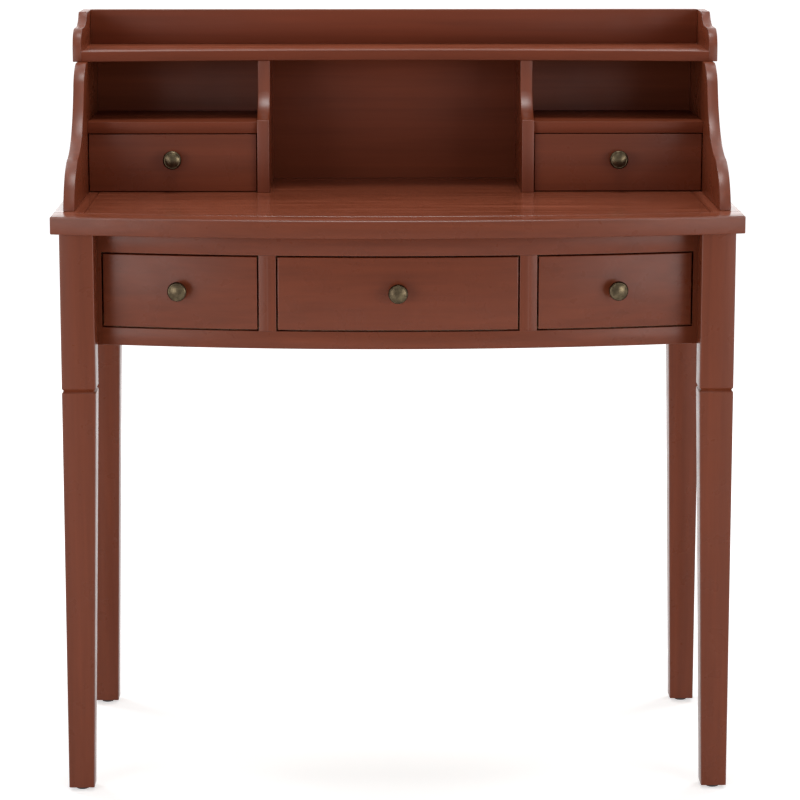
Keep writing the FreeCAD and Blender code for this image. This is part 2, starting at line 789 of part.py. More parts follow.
def all_parts():
    """Every node of the desk by name."""
    top_rail = frame_rail(opening_top, frame_top)
    bottom_rail = frame_rail(frame_bottom, opening_bottom)
    parts = {
        "worktop_front_board": worktop_front_board(),
        "worktop_main_panel": worktop_main_panel(),
        "leg_glides": leg_glides(),
        "frame_top_rail": top_rail,
        "frame_bottom_rail": bottom_rail,
        "back_apron": back_apron(),
        "corner_blocks": corner_blocks(),
        "leg_bolts": bolts(0),
        "drawer_runners": drawer_runners(),
        "drawer_kickers": drawer_kickers(),
        "assembly_screws": assembly_screws(),
        "hutch_back_panel": hutch_back_panel(),
        "hutch_top_shelf": top_shelf(),
        "gallery_back": gallery_back(),
    }
    for name, x_side, y_side in (("front_left", -1, -1), ("front_right", 1, -1),
                                 ("back_left", -1, 1), ("back_right", 1, 1)):
        parts[name + "_leg"] = leg(x_side, y_side)
    paired = {
        "worktop_end_board": worktop_end_board(),
        "frame_end_stile": frame_end_stile(),
        "frame_mid_stile": frame_mid_stile(),
        "side_apron": side_apron(),
        "hutch_side": side_board(),
        "hutch_divider": divider(),
        "small_shelf": small_shelf(),
        "gallery_side": gallery_side(),
    }
    for name, shape in paired.items():
        parts["right_" + name] = shape
        parts["left_" + name] = mirrored(shape)
    drawers = {
        "centre_drawer": lower_drawer(-centre_opening_x, centre_opening_x),
        "left_drawer": lower_drawer(-opening_end_x, -side_opening_x),
        "right_drawer": lower_drawer(side_opening_x, opening_end_x),
        "right_small_drawer": small_drawer(),
    }
    drawers["left_small_drawer"] = {
        piece: mirrored(shape) for piece, shape in drawers["right_small_drawer"].items()}
    for name, pieces in drawers.items():
        for piece, shape in pieces.items():
            parts[name + "_" + piece] = shape
    return parts


os.makedirs("parts", exist_ok=True)
for name, shape in all_parts().items():
    shape.exportStep("parts/" + name + ".step")
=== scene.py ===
import bmesh
import bpy
import math
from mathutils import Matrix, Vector


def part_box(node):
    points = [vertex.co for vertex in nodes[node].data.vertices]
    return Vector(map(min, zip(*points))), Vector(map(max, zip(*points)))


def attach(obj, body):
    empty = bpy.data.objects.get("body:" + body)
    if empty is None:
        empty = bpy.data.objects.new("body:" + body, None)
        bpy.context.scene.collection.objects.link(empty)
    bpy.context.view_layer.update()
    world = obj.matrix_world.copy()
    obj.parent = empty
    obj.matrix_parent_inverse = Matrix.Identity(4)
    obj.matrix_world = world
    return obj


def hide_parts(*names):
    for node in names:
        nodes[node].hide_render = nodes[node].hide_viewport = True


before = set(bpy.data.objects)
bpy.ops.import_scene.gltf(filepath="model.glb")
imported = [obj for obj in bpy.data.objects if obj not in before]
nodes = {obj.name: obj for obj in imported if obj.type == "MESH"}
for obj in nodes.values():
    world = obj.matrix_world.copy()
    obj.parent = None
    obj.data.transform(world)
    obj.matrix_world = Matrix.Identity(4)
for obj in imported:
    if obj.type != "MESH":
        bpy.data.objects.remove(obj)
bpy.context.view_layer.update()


# Lacquered wood. Close-grained hardwood, stained, sprayed with a red-brown lacquer and rubbed down to a
# semi-gloss. Its colour is even, its grain faintly streaky, and its soft reflections grow pale at a low
# angle. The arrises are burnished by the rubbing and shine more than the flats.
lacquer_tones = ("6A321D", "713620", "783A23")
lacquer_tone_places = (0.3, 0.5, 0.72)
pore_colour = "4A2212"
lacquer_ior = 1.5
# A sheen is a specular level, then the roughness where the coat is smooth and where it is dull. A rubbed
# lacquer throws back less light than a polished one.
flat_sheen = (0.22, 0.26, 0.32)
arris_sheen = (0.36, 0.3, 0.36)
streak_width_mm = 11
streak_length_mm = 320
# The real pores are about 0.3 mm wide, and are drawn as coarse as the picture can show. A pore starts and
# reaches its full depth at these levels of its pattern.
pore_width_mm = 1.6
pore_length_mm = 38
pore_start = 0.56
pore_full = 0.78
pore_relief = 0.25
pore_depth = 0.0002
flat_pores = 0.12
# The coat sinks a little into the wood in patches of this size, smooth at one level and dull at the other
sinkage_size_mm = 28
sinkage_smooth = 0.3
sinkage_dull = 0.7


def linear(hex_colour):
    """An sRGB hex colour as the linear red, green, blue and alpha that a shader takes."""
    shares = [int(hex_colour[i:i + 2], 16) / 255 for i in (0, 2, 4)]
    return [s / 12.92 if s <= 0.04045 else ((s + 0.055) / 1.055) ** 2.4 for s in shares] + [1]


def add_node(tree, kind, inputs=None, places=(), tones=(), **settings):
    """Adds a node with its settings. An input takes a number or colour, or a link from another node's output.
    A colour ramp also takes its tones and their places."""
    made = tree.nodes.new(kind)
    for name, value in settings.items():
        setattr(made, name, value)
    for name, value in (inputs or {}).items():
        if isinstance(value, bpy.types.NodeSocket):
            tree.links.new(value, made.inputs[name])
        else:
            made.inputs[name].default_value = value
    for place in places[1:-1]:
        made.color_ramp.elements.new(place)
    for number, (place, tone) in enumerate(zip(places, tones)):
        made.color_ramp.elements[number].position = place
        made.color_ramp.elements[number].color = linear(tone)
    return made


def new_finish(name):
    """An empty material with its shader, ready for its nodes."""
    finish = bpy.data.materials.new(name)
    finish.use_nodes = True
    tree = finish.node_tree
    return finish, tree, tree.nodes["Principled BSDF"]


def along_grain(axis, width_mm, length_mm):
    """The mapping scale of a pattern this wide across the grain and this long along it, per metre."""
    scale = [1000 / width_mm] * 3
    scale[axis] = 1000 / length_mm
    return scale


def lacquer_coat(name, grain_axis, pore_share, tones, sheen):
    """Lacquer over wood with its grain along X, Y or Z (0, 1 or 2) and this share of its pores showing."""
    specular, smooth, dull = sheen
    finish, tree, shader = new_finish(name)
    place = add_node(tree, "ShaderNodeTexCoord").outputs["Object"]
    streak_place = add_node(tree, "ShaderNodeMapping", {
        "Vector": place,
        "Scale": along_grain(grain_axis, streak_width_mm, streak_length_mm)}).outputs[0]
    streaks = add_node(tree, "ShaderNodeTexNoise", {
        "Vector": streak_place, "Scale": 1, "Detail": 4, "Roughness": 0.6, "Distortion": 0.4}).outputs["Fac"]
    colour = add_node(tree, "ShaderNodeValToRGB", {
        "Fac": streaks}, lacquer_tone_places, tones).outputs["Color"]
    pore_place = add_node(tree, "ShaderNodeMapping", {
        "Vector": place,
        "Scale": along_grain(grain_axis, pore_width_mm, pore_length_mm)}).outputs[0]
    pore_pattern = add_node(tree, "ShaderNodeTexNoise", {
        "Vector": pore_place, "Scale": 1, "Detail": 2, "Roughness": 0.5}).outputs["Fac"]
    pores = add_node(tree, "ShaderNodeMapRange", {
        "Value": pore_pattern, "From Min": pore_start, "From Max": pore_full,
        "To Min": 0, "To Max": pore_share}).outputs[0]
    stained = add_node(tree, "ShaderNodeMix", {
        "Factor": pores, 6: colour, 7: linear(pore_colour)}, data_type="RGBA").outputs[2]
    sinkage = add_node(tree, "ShaderNodeTexNoise", {
        "Vector": place, "Scale": 1000 / sinkage_size_mm, "Detail": 3, "Roughness": 0.5}).outputs["Fac"]
    gloss = add_node(tree, "ShaderNodeMapRange", {
        "Value": sinkage, "From Min": sinkage_smooth, "From Max": sinkage_dull,
        "To Min": smooth, "To Max": dull}).outputs[0]
    relief = add_node(tree, "ShaderNodeMath", {0: pores, 1: -1}, operation="MULTIPLY").outputs[0]
    surface = add_node(tree, "ShaderNodeBump", {
        "Height": relief, "Strength": pore_relief, "Distance": pore_depth}).outputs["Normal"]
    tree.links.new(stained, shader.inputs["Base Color"])
    tree.links.new(gloss, shader.inputs["Roughness"])
    tree.links.new(surface, shader.inputs["Normal"])
    shader.inputs["IOR"].default_value = lacquer_ior
    shader.inputs["Specular IOR Level"].default_value = specular
    return finish


def lacquered_wood(name, grain_axis):
    """The two finishes of a lacquered piece: its flats, and its burnished arrises."""
    flats = lacquer_coat(name, grain_axis, flat_pores, lacquer_tones, flat_sheen)
    arrises = lacquer_coat(name + ", arrises", grain_axis, 0, lacquer_tones, arris_sheen)
    return flats, arrises


wood_across = lacquered_wood("lacquered wood, grain across the desk", 0)
wood_deep = lacquered_wood("lacquered wood, grain front to back", 1)
wood_upright = lacquered_wood("lacquered wood, grain upright", 2)


# Legs. Each is one square post of solid wood, held by two bolts through a corner block. A V-groove is cut
# round it above knee height, and below the groove its two inner faces are planed to a taper. The four long
# arrises are eased by hand.
leg_side = 0.045
foot_side = 0.034
leg_groove_height = 0.548
leg_groove_half_width = 0.003
leg_groove_depth = 0.0024
leg_arris = 0.0015
leg_arris_steps = 3
# A face looks along an axis, or an edge runs along it, where its direction has more than this share of it
flat_way = 0.5
smooth_angle = math.radians(32)


def select_only(piece):
    """Makes one piece the only one that is selected, and the active one."""
    bpy.ops.object.select_all(action="DESELECT")
    piece.select_set(True)
    bpy.context.view_layer.objects.active = piece


def coat(piece, finishes):
    """Puts the finishes on a piece's stock, before it is shaped."""
    for finish in finishes:
        piece.data.materials.append(finish)


def block(name, finishes, low, high):
    """A cube primitive stretched between two corners, with its place in its mesh."""
    low, high = Vector(low), Vector(high)
    bpy.ops.object.select_all(action="DESELECT")
    bpy.ops.mesh.primitive_cube_add(size=1, location=(low + high) / 2)
    piece = bpy.context.object
    piece.name = name
    piece.scale = high - low
    bpy.ops.object.transform_apply(location=True, rotation=True, scale=True)
    coat(piece, finishes)
    return piece


def pick(piece, kind, test):
    """In edit mode, selects the faces or edges whose middle and direction pass a test."""
    bpy.ops.mesh.select_mode(type=kind)
    bpy.ops.mesh.select_all(action="DESELECT")
    shell = bmesh.from_edit_mesh(piece.data)
    shell.normal_update()
    for part in shell.faces if kind == "FACE" else shell.edges:
        if kind == "FACE":
            middle, way = part.calc_center_median(), part.normal
        else:
            start, end = [corner.co for corner in part.verts]
            middle, way = (start + end) / 2, (end - start).normalized()
        if test(middle, way):
            part.select_set(True)
    bmesh.update_edit_mesh(piece.data)


def pull(x, y, z):
    """Extrudes what is selected."""
    bpy.ops.mesh.extrude_region_move(TRANSFORM_OT_translate={"value": (x, y, z)})


def scale_about(centre, x, y, z):
    """Scales what is selected about a centre."""
    bpy.ops.transform.resize(value=(x, y, z), center_override=centre)


def bevel_picked(width, steps, finish=1):
    """Rounds the picked edges. The new faces take the second finish of the piece, or another."""
    bpy.ops.mesh.bevel(offset=width, segments=steps, affect="EDGES", material=finish)


def dress(piece, body, node):
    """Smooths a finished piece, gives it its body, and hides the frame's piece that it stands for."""
    select_only(piece)
    bpy.ops.object.shade_smooth_by_angle(angle=smooth_angle)
    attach(piece, body)
    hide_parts(node)


def leg(name, node, x_side, y_side):
    """A post: its upper block, pulled down through the groove to a foot that tapers to its outer corner."""
    low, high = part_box(node)
    outer = (low.x if x_side < 0 else high.x, low.y if y_side < 0 else high.y, 0)
    middle = (low + high) / 2
    lip = leg_groove_height + leg_groove_half_width
    waist = 1 - 2 * leg_groove_depth / leg_side
    piece = block(name, wood_upright, (low.x, low.y, lip), high)
    bpy.ops.object.mode_set(mode="EDIT")
    pick(piece, "FACE", lambda centre, way: way.z < -flat_way)
    pull(0, 0, -leg_groove_half_width)
    scale_about(middle, waist, waist, 1)
    pull(0, 0, -leg_groove_half_width)
    scale_about(middle, 1 / waist, 1 / waist, 1)
    pull(0, 0, low.z - leg_groove_height + leg_groove_half_width)
    scale_about(outer, foot_side / leg_side, foot_side / leg_side, 1)
    pick(piece, "EDGE", lambda centre, way: abs(way.z) > flat_way)
    bevel_picked(leg_arris, leg_arris_steps)
    bpy.ops.object.mode_set(mode="OBJECT")
    dress(piece, "desk", node)


for y_name, y_side in (("front", -1), ("back", 1)):
    for x_name, x_side in (("left", -1), ("right", 1)):
        leg("leg_" + y_name + "_" + x_name, y_name + "_" + x_name + "_leg", x_side, y_side)


# Face frame. Two bent rails and two mid stiles, glued up flush and lacquered as one, stand behind the front
# legs. The front follows a long bow, and the openings hold the three drawers.
frame_bow = 0.048
frame_thickness = 0.020
frame_edge = 0.0008
frame_edge_steps = 2
bow_step = 0.012
end_spare = 0.01
# Two places are the same where they are nearer than this
touch = 0.0002


def bow_radius(half_width, bow):
    """The radius of an arc that bows this far over twice this half width."""
    return (half_width ** 2 + bow ** 2) / (2 * bow)


# An arc is its radius and its centre's Y
leg_inner_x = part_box("front_right_leg")[0].x
leg_back_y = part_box("front_right_leg")[1].y
frame_radius = bow_radius(leg_inner_x, frame_bow)
frame_arc = (frame_radius, leg_back_y - frame_bow + frame_radius)


def bent_board(name, finishes, arc, thickness, low, high, side=-1):
    """A board bent to an arc: its end section is spun past both ends and then cut off square.
    The arc's centre is behind the board for a bow (side -1) and in front of it for a hollow (side 1)."""
    radius, centre_y = arc
    start = math.asin((low.x - end_spare) / radius)
    end = math.asin((high.x + end_spare) / radius)
    middle_radius = radius + side * thickness / 2
    bpy.ops.object.select_all(action="DESELECT")
    bpy.ops.mesh.primitive_plane_add(size=1)
    piece = bpy.context.object
    piece.name = name
    piece.scale = (thickness, high.z - low.z, 1)
    piece.rotation_euler = (math.radians(90), 0, math.radians(90) - side * start)
    piece.location = (middle_radius * math.sin(start), centre_y + side * middle_radius * math.cos(start),
                      (low.z + high.z) / 2)
    bpy.ops.object.transform_apply(location=True, rotation=True, scale=True)
    coat(piece, finishes)
    bpy.ops.object.mode_set(mode="EDIT")
    bpy.ops.mesh.select_all(action="SELECT")
    steps = math.ceil((high.x - low.x) / bow_step)
    # With no window, spin turns clockwise about its axis
    bpy.ops.mesh.spin(steps=steps, angle=side * (end - start), center=(0, centre_y, 0), axis=(0, 0, 1))
    for x, way in ((low.x, -1), (high.x, 1)):
        bpy.ops.mesh.select_all(action="SELECT")
        bpy.ops.mesh.bisect(plane_co=(x, 0, 0), plane_no=(way, 0, 0), use_fill=True, clear_outer=True)
    bpy.ops.mesh.select_all(action="SELECT")
    bpy.ops.mesh.normals_make_consistent(inside=False)
    return piece


def on_arc(place, arc):
    """Whether a place stands on an arc, seen from above."""
    radius, centre_y = arc
    return abs(math.hypot(place.x, place.y - centre_y) - radius) < touch


def frame_rail(name, node):
    """A bent rail, eased along its two front edges."""
    low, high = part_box(node)
    piece = bent_board(name, wood_across, frame_arc, frame_thickness, low, high)
    pick(piece, "EDGE", lambda centre, way: abs(way.z) < flat_way and on_arc(centre, frame_arc))
    bevel_picked(frame_edge, frame_edge_steps)
    bpy.ops.object.mode_set(mode="OBJECT")
    dress(piece, "desk", node)


def frame_stile(name, node):
    """A stile, eased up its two front edges."""
    low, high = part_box(node)
    piece = bent_board(name, wood_upright, frame_arc, frame_thickness, low, high)
    pick(piece, "EDGE", lambda centre, way: abs(way.z) > flat_way and on_arc(centre, frame_arc))
    bevel_picked(frame_edge, frame_edge_steps)
    bpy.ops.object.mode_set(mode="OBJECT")
    dress(piece, "desk", node)


frame_rail("frame_rail_top", "frame_top_rail")
frame_rail("frame_rail_bottom", "frame_bottom_rail")
frame_stile("frame_stile_mid_left", "left_frame_mid_stile")
frame_stile("frame_stile_mid_right", "right_frame_mid_stile")


def paint(node, finish):
    """One finish and its slot for a piece that keeps the frame's own shape."""
    nodes[node].data.materials.clear()
    nodes[node].data.materials.append(finish)


for node in ("left_frame_end_stile", "right_frame_end_stile"):
    paint(node, wood_upright[0])


# Aprons. Straight boards that close the sides and the back between the legs, lacquered like the rest. Their
# arrises are eased.
board_arris = 0.001
board_arris_steps = 2
sharp_angle = math.radians(40)


def ease(piece, arris, steps):
    """Rounds every sharp edge of a piece a little, as sandpaper does."""
    select_only(piece)
    bevel = piece.modifiers.new("arris", "BEVEL")
    bevel.width = arris
    bevel.segments = steps
    bevel.material = 1
    bevel.limit_method = "ANGLE"
    bevel.angle_limit = sharp_angle
    bpy.ops.object.modifier_apply(modifier=bevel.name)


def plain_board(name, finishes, node):
    """A straight board with eased edges."""
    piece = block(name, finishes, *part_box(node))
    ease(piece, board_arris, board_arris_steps)
    dress(piece, "desk", node)


plain_board("apron_left", wood_deep, "left_side_apron")
plain_board("apron_right", wood_deep, "right_side_apron")
plain_board("apron_back", wood_across, "back_apron")


# Bare wood. Pale softwood or beech, planed and left without lacquer where nobody sees it: dull, with a clear
# brown grain.
bare_tones = ("A07C52", "BD9A6C", "CDAF84")
bare_tone_places = (0.35, 0.5, 0.68)
bare_streak_width_mm = 6
bare_streak_length_mm = 180
bare_relief = 0.2
bare_grain_depth = 0.0004
bare_roughness = 0.65


def bare_wood(name, grain_axis):
    """Planed wood whose grain runs along X, Y or Z (0, 1 or 2)."""
    finish, tree, shader = new_finish(name)
    place = add_node(tree, "ShaderNodeTexCoord").outputs["Object"]
    grain_place = add_node(tree, "ShaderNodeMapping", {
        "Vector": place,
        "Scale": along_grain(grain_axis, bare_streak_width_mm, bare_streak_length_mm)}).outputs[0]
    grain = add_node(tree, "ShaderNodeTexNoise", {
        "Vector": grain_place, "Scale": 1, "Detail": 5, "Roughness": 0.6, "Distortion": 0.8}).outputs["Fac"]
    colour = add_node(tree, "ShaderNodeValToRGB", {
        "Fac": grain}, bare_tone_places, bare_tones).outputs["Color"]
    surface = add_node(tree, "ShaderNodeBump", {
        "Height": grain, "Strength": bare_relief, "Distance": bare_grain_depth}).outputs["Normal"]
    tree.links.new(colour, shader.inputs["Base Color"])
    tree.links.new(surface, shader.inputs["Normal"])
    shader.inputs["Roughness"].default_value = bare_roughness
    return finish


bare_deep = bare_wood("bare wood, grain front to back", 1)
bare_across = bare_wood("bare wood, grain across the desk", 0)
bare_upright = bare_wood("bare wood, grain upright", 2)


# Runners, kickers and corner blocks. Square bare strips inside the frame: the drawers slide on the runners,
# the kickers above them stop a pulled drawer from tipping, and the blocks take the leg bolts.
paint("drawer_runners", bare_deep)
paint("drawer_kickers", bare_deep)
paint("corner_blocks", bare_upright)


# Bolts and screws. Zinc-plated steel, as it comes from the box: bright grey, with a fine cloudy spangle.
# The bolts hold the legs, and the screws hold the worktop and the hutch.
zinc_tones = ("8C9092", "B4B7B8")
zinc_tone_places = (0.35, 0.65)
zinc_roughness = (0.3, 0.5)
spangle_mm = 2.5


def zinc_plate():
    """Zinc plating: its spangle varies its colour and its gloss."""
    finish, tree, shader = new_finish("zinc-plated steel")
    place = add_node(tree, "ShaderNodeTexCoord").outputs["Object"]
    spangle = add_node(tree, "ShaderNodeTexNoise", {
        "Vector": place, "Scale": 1000 / spangle_mm, "Detail": 2}).outputs["Fac"]
    colour = add_node(tree, "ShaderNodeValToRGB", {
        "Fac": spangle}, zinc_tone_places, zinc_tones).outputs["Color"]
    dullness = add_node(tree, "ShaderNodeMapRange", {
        "Value": spangle, "To Min": zinc_roughness[0], "To Max": zinc_roughness[1]}).outputs[0]
    tree.links.new(colour, shader.inputs["Base Color"])
    tree.links.new(dullness, shader.inputs["Roughness"])
    shader.inputs["Metallic"].default_value = 1
    return finish


zinc = zinc_plate()
paint("leg_bolts", zinc)
paint("assembly_screws", zinc)


# Glides. A moulded disc of black polyethylene is pinned under each leg, so that the wood stays off the
# floor. It is dull black, and paler where it is scuffed.
glide_tones = ("1B1A19", "2C2A28")
glide_tone_places = (0.4, 0.7)
glide_roughness = (0.4, 0.6)
scuff_mm = 3


def moulded_plastic():
    """Black plastic: its scuffs vary its colour and its gloss."""
    finish, tree, shader = new_finish("black moulded polyethylene")
    place = add_node(tree, "ShaderNodeTexCoord").outputs["Object"]
    scuffs = add_node(tree, "ShaderNodeTexNoise", {
        "Vector": place, "Scale": 1000 / scuff_mm, "Detail": 3}).outputs["Fac"]
    colour = add_node(tree, "ShaderNodeValToRGB", {
        "Fac": scuffs}, glide_tone_places, glide_tones).outputs["Color"]
    dullness = add_node(tree, "ShaderNodeMapRange", {
        "Value": scuffs, "To Min": glide_roughness[0], "To Max": glide_roughness[1]}).outputs[0]
    tree.links.new(colour, shader.inputs["Base Color"])
    tree.links.new(dullness, shader.inputs["Roughness"])
    return finish


paint("leg_glides", moulded_plastic())


# Worktop. A bent front board, two end boards and a main panel, glued edge to edge, with a fine V-groove at
# each joint and a rounded outer arris. The top is polished more than the rest of the desk, and shows long
# fine lines of its grain. Its upper face is painted in lighter tones than the rest: painted light from above.
worktop_bow = 0.050
worktop_arris = 0.0016
worktop_arris_steps = 4
front_board_width = 0.048
board_groove = 0.0012
board_groove_steps = 1
glue_line = 0.0001
pressed_depth = 0.03

# Lighter tones for the polished upper faces of the worktop and the top shelf: painted light from above
top_tones_painted_lighter = ("69301B", "82432D", "9A563F")
top_pores = 0.2
top_sheen = (0.5, 0.18, 0.24)
top_arris_sheen = (0.6, 0.18, 0.24)


def polished_wood_painted_light_top(name, grain_axis):
    """The three finishes of a worktop board: its front edge, its burnished arris and its polished top,
    painted lighter as painted light from above.
    """
    edge = lacquer_coat(name + ", edge", grain_axis, flat_pores, lacquer_tones, flat_sheen)
    arris = lacquer_coat(name + ", arris", grain_axis, 0, lacquer_tones, top_arris_sheen)
    top = lacquer_coat(name + ", top", grain_axis, top_pores, top_tones_painted_lighter, top_sheen)
    return edge, arris, top


panel_wood = polished_wood_painted_light_top("polished wood, grain across the desk", 0)
end_board_wood = polished_wood_painted_light_top("polished wood, grain front to back", 1)

worktop_low, worktop_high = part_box("worktop_front_board")
half_worktop = worktop_high.x
worktop_radius = bow_radius(half_worktop, worktop_bow)
worktop_arc = (worktop_radius, worktop_low.y + worktop_radius)
joint_arc = (worktop_radius - front_board_width, worktop_arc[1])
behind_joint_arc = (joint_arc[0] - glue_line, worktop_arc[1])


def give_finish(piece, number, test):
    """Gives the faces that pass a test one of the piece's finishes."""
    pick(piece, "FACE", test)
    piece.active_material_index = number
    bpy.ops.object.material_slot_assign()


def polish_and_paint_light_on_top(piece):
    """Gives the upper face the third finish of the piece: polished, and painted lighter as painted light from
    above.
    """
    give_finish(piece, 2, lambda centre, way: way.z > flat_way)


def shape_worktop_edges(piece, low, high, at_joint, at_rim):
    """Cuts the grooves at the joints, then rounds the outer arris: burnished above, and plain below."""
    pick(piece, "EDGE", lambda centre, way: abs(way.z) < flat_way and at_joint(centre))
    bevel_picked(board_groove, board_groove_steps)
    pick(piece, "EDGE", lambda centre, way: abs(centre.z - high.z) < touch and at_rim(centre))
    bevel_picked(worktop_arris, worktop_arris_steps)
    pick(piece, "EDGE", lambda centre, way: abs(centre.z - low.z) < touch and at_rim(centre))
    bevel_picked(worktop_arris, worktop_arris_steps, 0)
    bpy.ops.object.mode_set(mode="OBJECT")


def worktop_front_board():
    """The bent board along the front: a groove at its back, and its arris along the front and the ends."""
    low, high = worktop_low, worktop_high
    piece = bent_board("worktop_board_front", panel_wood, worktop_arc, front_board_width, low, high)
    polish_and_paint_light_on_top(piece)

    def at_joint(centre):
        return centre.z > high.z - touch and on_arc(centre, joint_arc)

    def at_rim(centre):
        return abs(centre.x) > half_worktop - touch or on_arc(centre, worktop_arc)

    shape_worktop_edges(piece, low, high, at_joint, at_rim)
    dress(piece, "desk", "worktop_front_board")


def flat_back_board(name, finishes, arc, low, high, side=-1):
    """A board with an arc for its front and a straight back: a bent board whose back is pressed flat."""
    piece = bent_board(name, finishes, arc, pressed_depth, low, high, side)
    pick(piece, "FACE", lambda centre, way: way.y > flat_way)
    scale_about((0, high.y, 0), 1, 0, 1)
    bpy.ops.mesh.select_all(action="SELECT")
    bpy.ops.mesh.normals_make_consistent(inside=False)
    return piece


def worktop_panel(name, finishes, node):
    """A board behind the front board, with a groove at each joint and an arris at the worktop's end."""
    low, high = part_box(node)
    piece = flat_back_board(name, finishes, behind_joint_arc, low, high)
    polish_and_paint_light_on_top(piece)

    def at_joint(centre):
        at_side = min(centre.x - low.x, high.x - centre.x) < touch and abs(centre.x) < half_worktop - touch
        return centre.z > high.z - touch and (at_side or on_arc(centre, behind_joint_arc))

    def at_rim(centre):
        return abs(centre.x) > half_worktop - touch

    shape_worktop_edges(piece, low, high, at_joint, at_rim)
    dress(piece, "desk", node)


worktop_front_board()
worktop_panel("worktop_board_main", panel_wood, "worktop_main_panel")
worktop_panel("worktop_board_left_end", end_board_wood, "left_worktop_end_board")
worktop_panel("worktop_board_right_end", end_board_wood, "right_worktop_end_board")


# Hutch sides and dividers. Each is sawn from a board to a shaped front edge: the sides have a round nose at
# the foot and a long hollow sweep, the dividers a corner and a hollow sweep above the small shelf. The sawn
# edges are sanded soft and burnished.
side_arris = 0.001
side_arris_steps = 3
arc_steps = 14
# Points nearer than this are merged
merge_reach = 0.00002
# Each arc's start, middle and end, as shares of the run from the front and of the rise
side_arcs = (((0.0, 0.0), (0.094, 0.206), (0.341, 0.351)),
             ((0.341, 0.351), (0.628, 0.513), (0.816, 0.858)),
             ((0.816, 0.858), (0.883, 0.947), (1.0, 1.0)))
side_run = 0.223
divider_arcs = (((0.0, 0.0), (0.643, 0.358), (1.0, 1.0)),)
divider_run = 0.0573
divider_corner_height = 0.1005
divider_sweep_height = 0.036


def start_outline(name, finishes, x, y, z):
    """A single point to draw an outline from: a plane primitive merged to its middle."""
    bpy.ops.object.select_all(action="DESELECT")
    bpy.ops.mesh.primitive_plane_add(size=board_arris, location=(x, y, z))
    piece = bpy.context.object
    piece.name = name
    bpy.ops.object.transform_apply(location=True, rotation=True, scale=True)
    coat(piece, finishes)
    bpy.ops.object.mode_set(mode="EDIT")
    bpy.ops.mesh.select_mode(type="VERT")
    bpy.ops.mesh.select_all(action="SELECT")
    bpy.ops.mesh.merge(type="CENTER")
    return piece


def draw_line(pen, y, z):
    """Draws a straight edge from the pen, a (y, z) place, to a new one."""
    pull(0, y - pen[0], z - pen[1])
    return y, z


def draw_arc(pen, middle, end):
    """Draws an arc from the pen through a middle place to an end, by spinning the last point."""
    (ay, az), (by, bz), (cy, cz) = pen, middle, end
    turn = 2 * (ay * (bz - cz) + by * (cz - az) + cy * (az - bz))
    a, b, c = ay * ay + az * az, by * by + bz * bz, cy * cy + cz * cz
    centre_y = (a * (bz - cz) + b * (cz - az) + c * (az - bz)) / turn
    centre_z = (a * (cy - by) + b * (ay - cy) + c * (by - ay)) / turn
    start_way = math.atan2(az - centre_z, ay - centre_y)
    end_way = math.atan2(cz - centre_z, cy - centre_y)
    swept = (end_way - start_way + math.pi) % (2 * math.pi) - math.pi
    bpy.ops.mesh.spin(steps=arc_steps, angle=-swept, center=(0, centre_y, centre_z), axis=(1, 0, 0))
    return end


def follow(pen, arcs, origin, run, rise):
    """Draws arcs that are given as shares of a run and a rise from an origin."""
    for arc in arcs:
        middle, end = [(origin[0] + s * run, origin[1] + t * rise) for s, t in arc[1:]]
        pen = draw_arc(pen, middle, end)
    return pen


def close_outline(piece, thickness):
    """Merges the last point with the first, fills the outline, thickens it and burnishes the sawn edge."""
    bpy.ops.mesh.select_all(action="SELECT")
    bpy.ops.mesh.remove_doubles(threshold=merge_reach)
    bpy.ops.mesh.edge_face_add()
    pull(thickness, 0, 0)
    bpy.ops.mesh.select_all(action="SELECT")
    bpy.ops.mesh.normals_make_consistent(inside=False)
    give_finish(piece, 1, lambda centre, way: abs(way.x) < flat_way)
    bpy.ops.object.mode_set(mode="OBJECT")


def hutch_side(name, node):
    """A side: its shaped front edge from the foot up, then its straight top, back and foot."""
    low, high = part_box(node)
    piece = start_outline(name, wood_upright, low.x, low.y, low.z)
    pen = follow((low.y, low.z), side_arcs, (low.y, low.z), side_run, high.z - low.z)
    pen = draw_line(pen, high.y, high.z)
    pen = draw_line(pen, high.y, low.z)
    draw_line(pen, low.y, low.z)
    close_outline(piece, high.x - low.x)
    ease(piece, side_arris, side_arris_steps)
    dress(piece, "desk", node)


def hutch_divider(name, node):
    """A divider: upright to the corner, back along the sweep, and upright again to the top shelf."""
    low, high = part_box(node)
    piece = start_outline(name, wood_upright, low.x, low.y, low.z)
    pen = draw_line((low.y, low.z), low.y, low.z + divider_corner_height)
    pen = follow(pen, divider_arcs, pen, divider_run, divider_sweep_height)
    pen = draw_line(pen, pen[0], high.z)
    pen = draw_line(pen, high.y, high.z)
    pen = draw_line(pen, high.y, low.z)
    draw_line(pen, low.y, low.z)
    close_outline(piece, high.x - low.x)
    ease(piece, side_arris, side_arris_steps)
    dress(piece, "desk", node)


for hand in ("left", "right"):
    hutch_side("hutch_board_" + hand, hand + "_hutch_side")
    hutch_divider("divider_board_" + hand, hand + "_hutch_divider")


# Back panel and small shelves of the hutch. Plain boards: the panel closes the hutch at the back, and each
# small shelf makes a pigeonhole above a small drawer. Their lacquer, like the top shelf's and the gallery
# back's, is rubbed down less: it stays dull and hides the pores.
dull_sheen = (0.17, 0.4, 0.48)
dull_tones = ("69311D", "703520", "763822")
dull_coat = lacquer_coat("dull lacquered wood, grain across the desk", 0, 0, dull_tones, dull_sheen)
dull_wood = (dull_coat, wood_across[1])

plain_board("hutch_back_board", dull_wood, "hutch_back_panel")
plain_board("shelf_board_left", dull_wood, "left_small_shelf")
plain_board("shelf_board_right", dull_wood, "right_small_shelf")


# Top shelf. A board with a long shallow hollow sawn out of its front edge, whose two arrises are rounded.
# Its top is polished like the worktop's, and painted lighter like it, as painted light from above.
top_shelf_hollow = 0.0327
top_shelf_arris = 0.0012
top_shelf_arris_steps = 3
top_shelf_wood = (*dull_wood, panel_wood[2])

